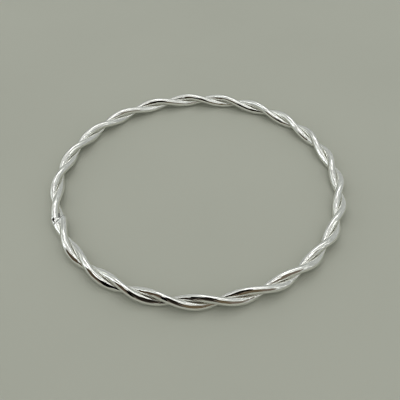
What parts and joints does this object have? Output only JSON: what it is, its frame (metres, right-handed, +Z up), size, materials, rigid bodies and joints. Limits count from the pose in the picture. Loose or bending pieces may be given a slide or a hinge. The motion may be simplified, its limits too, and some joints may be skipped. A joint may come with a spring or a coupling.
{
  "type": "twisted wire bangle",
  "caption": "Closed round bangle of two polished silver wires twisted together like a rope and soldered end to end.",
  "frame": {"origin": "middle of the ring, on the surface that the bangle lies on", "axes": "+Z up, along the ring's own axis; -Y is the side nearest the camera in the picture, and the solder joint is at azimuth 199 degrees, anticlockwise from +X"},
  "size_m": [0.0718, 0.0717, 0.0035],
  "materials": {
    "silver": "hand-polished sterling silver"
  },
  "bodies": {
    "root": {"twisted_bangle": "silver"}
  },
  "joints": []
}
